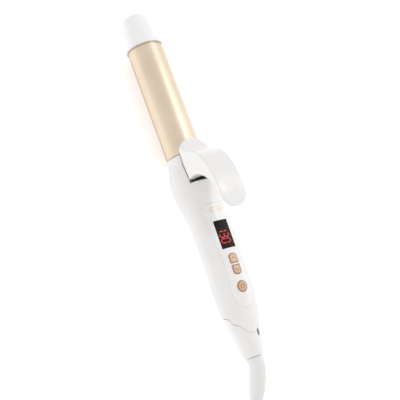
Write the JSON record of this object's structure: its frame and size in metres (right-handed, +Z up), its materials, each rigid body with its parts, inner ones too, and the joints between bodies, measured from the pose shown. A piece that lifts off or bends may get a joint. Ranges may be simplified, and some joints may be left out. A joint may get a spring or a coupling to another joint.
{
  "type": "curling iron",
  "caption": "Clip-type curling iron with a round heated barrel, a sprung clip worked by a thumb lever, a handle with display and keys, and a mains lead.",
  "frame": {"origin": "on the resting surface, under the middle of the iron without its cord", "axes": "+Y along the barrel to the tip, +Z up from the resting surface to the side with the lever and keys, +X across"},
  "size_m": [0.0702, 0.474, 0.0706],
  "materials": {
    "white_plastic": "fine satin white moulding",
    "heat_plastic": "white heat-resistant plastic",
    "gold_barrel": "champagne gold satin anodised",
    "gold_clip": "champagne gold satin anodised",
    "rose_gold": "rose gold metallised plastic",
    "panel_white": "glossy white inlay",
    "display_dark": "tinted gloss window",
    "module_black": "black module",
    "board_green": "solder mask",
    "steel": "plain steel",
    "aluminium_shoe": "extruded",
    "ceramic": "ceramic",
    "switch_metal": "switch can",
    "wire_white": "silicone sleeve",
    "boot_white": "soft white moulding",
    "cord_white": "white PVC sheath",
    "brass_blade": "nickel plated brass"
  },
  "bodies": {
    "handle": {"tip_cap": "heat_plastic", "tip_ring": "heat_plastic", "barrel_tube": "gold_barrel", "barrel_holder": "ceramic", "heater_shoe_upper": "aluminium_shoe", "heater_shoe_lower": "aluminium_shoe", "ptc_heater": "ceramic", "temperature_sensor": "ceramic", "thermal_fuse": "steel", "front_housing": "white_plastic", "rear_housing": "white_plastic", "tail_cover": "white_plastic", "control_panel": "panel_white", "display_window": "display_dark", "display_module": "module_black", "circuit_board": "board_green", "tact_switches": "switch_metal", "hinge_pin": "steel", "hinge_bracket": "steel", "housing_screws": "steel", "bracket_screw": "steel", "heater_leads": "wire_white", "supply_leads": "wire_white", "cord_clamp": "white_plastic", "strain_relief": "boot_white", "cord_lead": "cord_white", "cord_coil": "cord_white", "cord_end": "cord_white", "plug_body": "cord_white", "plug_blades": "brass_blade"},
    "clip": {"lever": "white_plastic", "clip_plate": "gold_clip", "clip_spring": "steel"},
    "up_key": {"up_button": "rose_gold"},
    "down_key": {"down_button": "rose_gold"},
    "power_key": {"power_button": "rose_gold"}
  },
  "joints": [
    {"name": "clip_hinge", "type": "hinge", "parent": "handle", "child": "clip", "pos_m": [0, -0.001, 0.029], "axis": [1, 0, 0], "range_deg": [0, 18], "stiffness_Nm_per_rad": 0.4, "springref_deg": -28.65},
    {"name": "up_press", "type": "slide", "parent": "handle", "child": "up_key", "axis": [0, 0, 1], "range_m": [-0.0006, 0], "stiffness_N_per_m": 900, "springref_m": 0.0003},
    {"name": "down_press", "type": "slide", "parent": "handle", "child": "down_key", "axis": [0, 0, 1], "range_m": [-0.0006, 0], "stiffness_N_per_m": 900, "springref_m": 0.0003},
    {"name": "power_press", "type": "slide", "parent": "handle", "child": "power_key", "axis": [0, 0, 1], "range_m": [-0.0006, 0], "stiffness_N_per_m": 900, "springref_m": 0.0003}
  ]
}
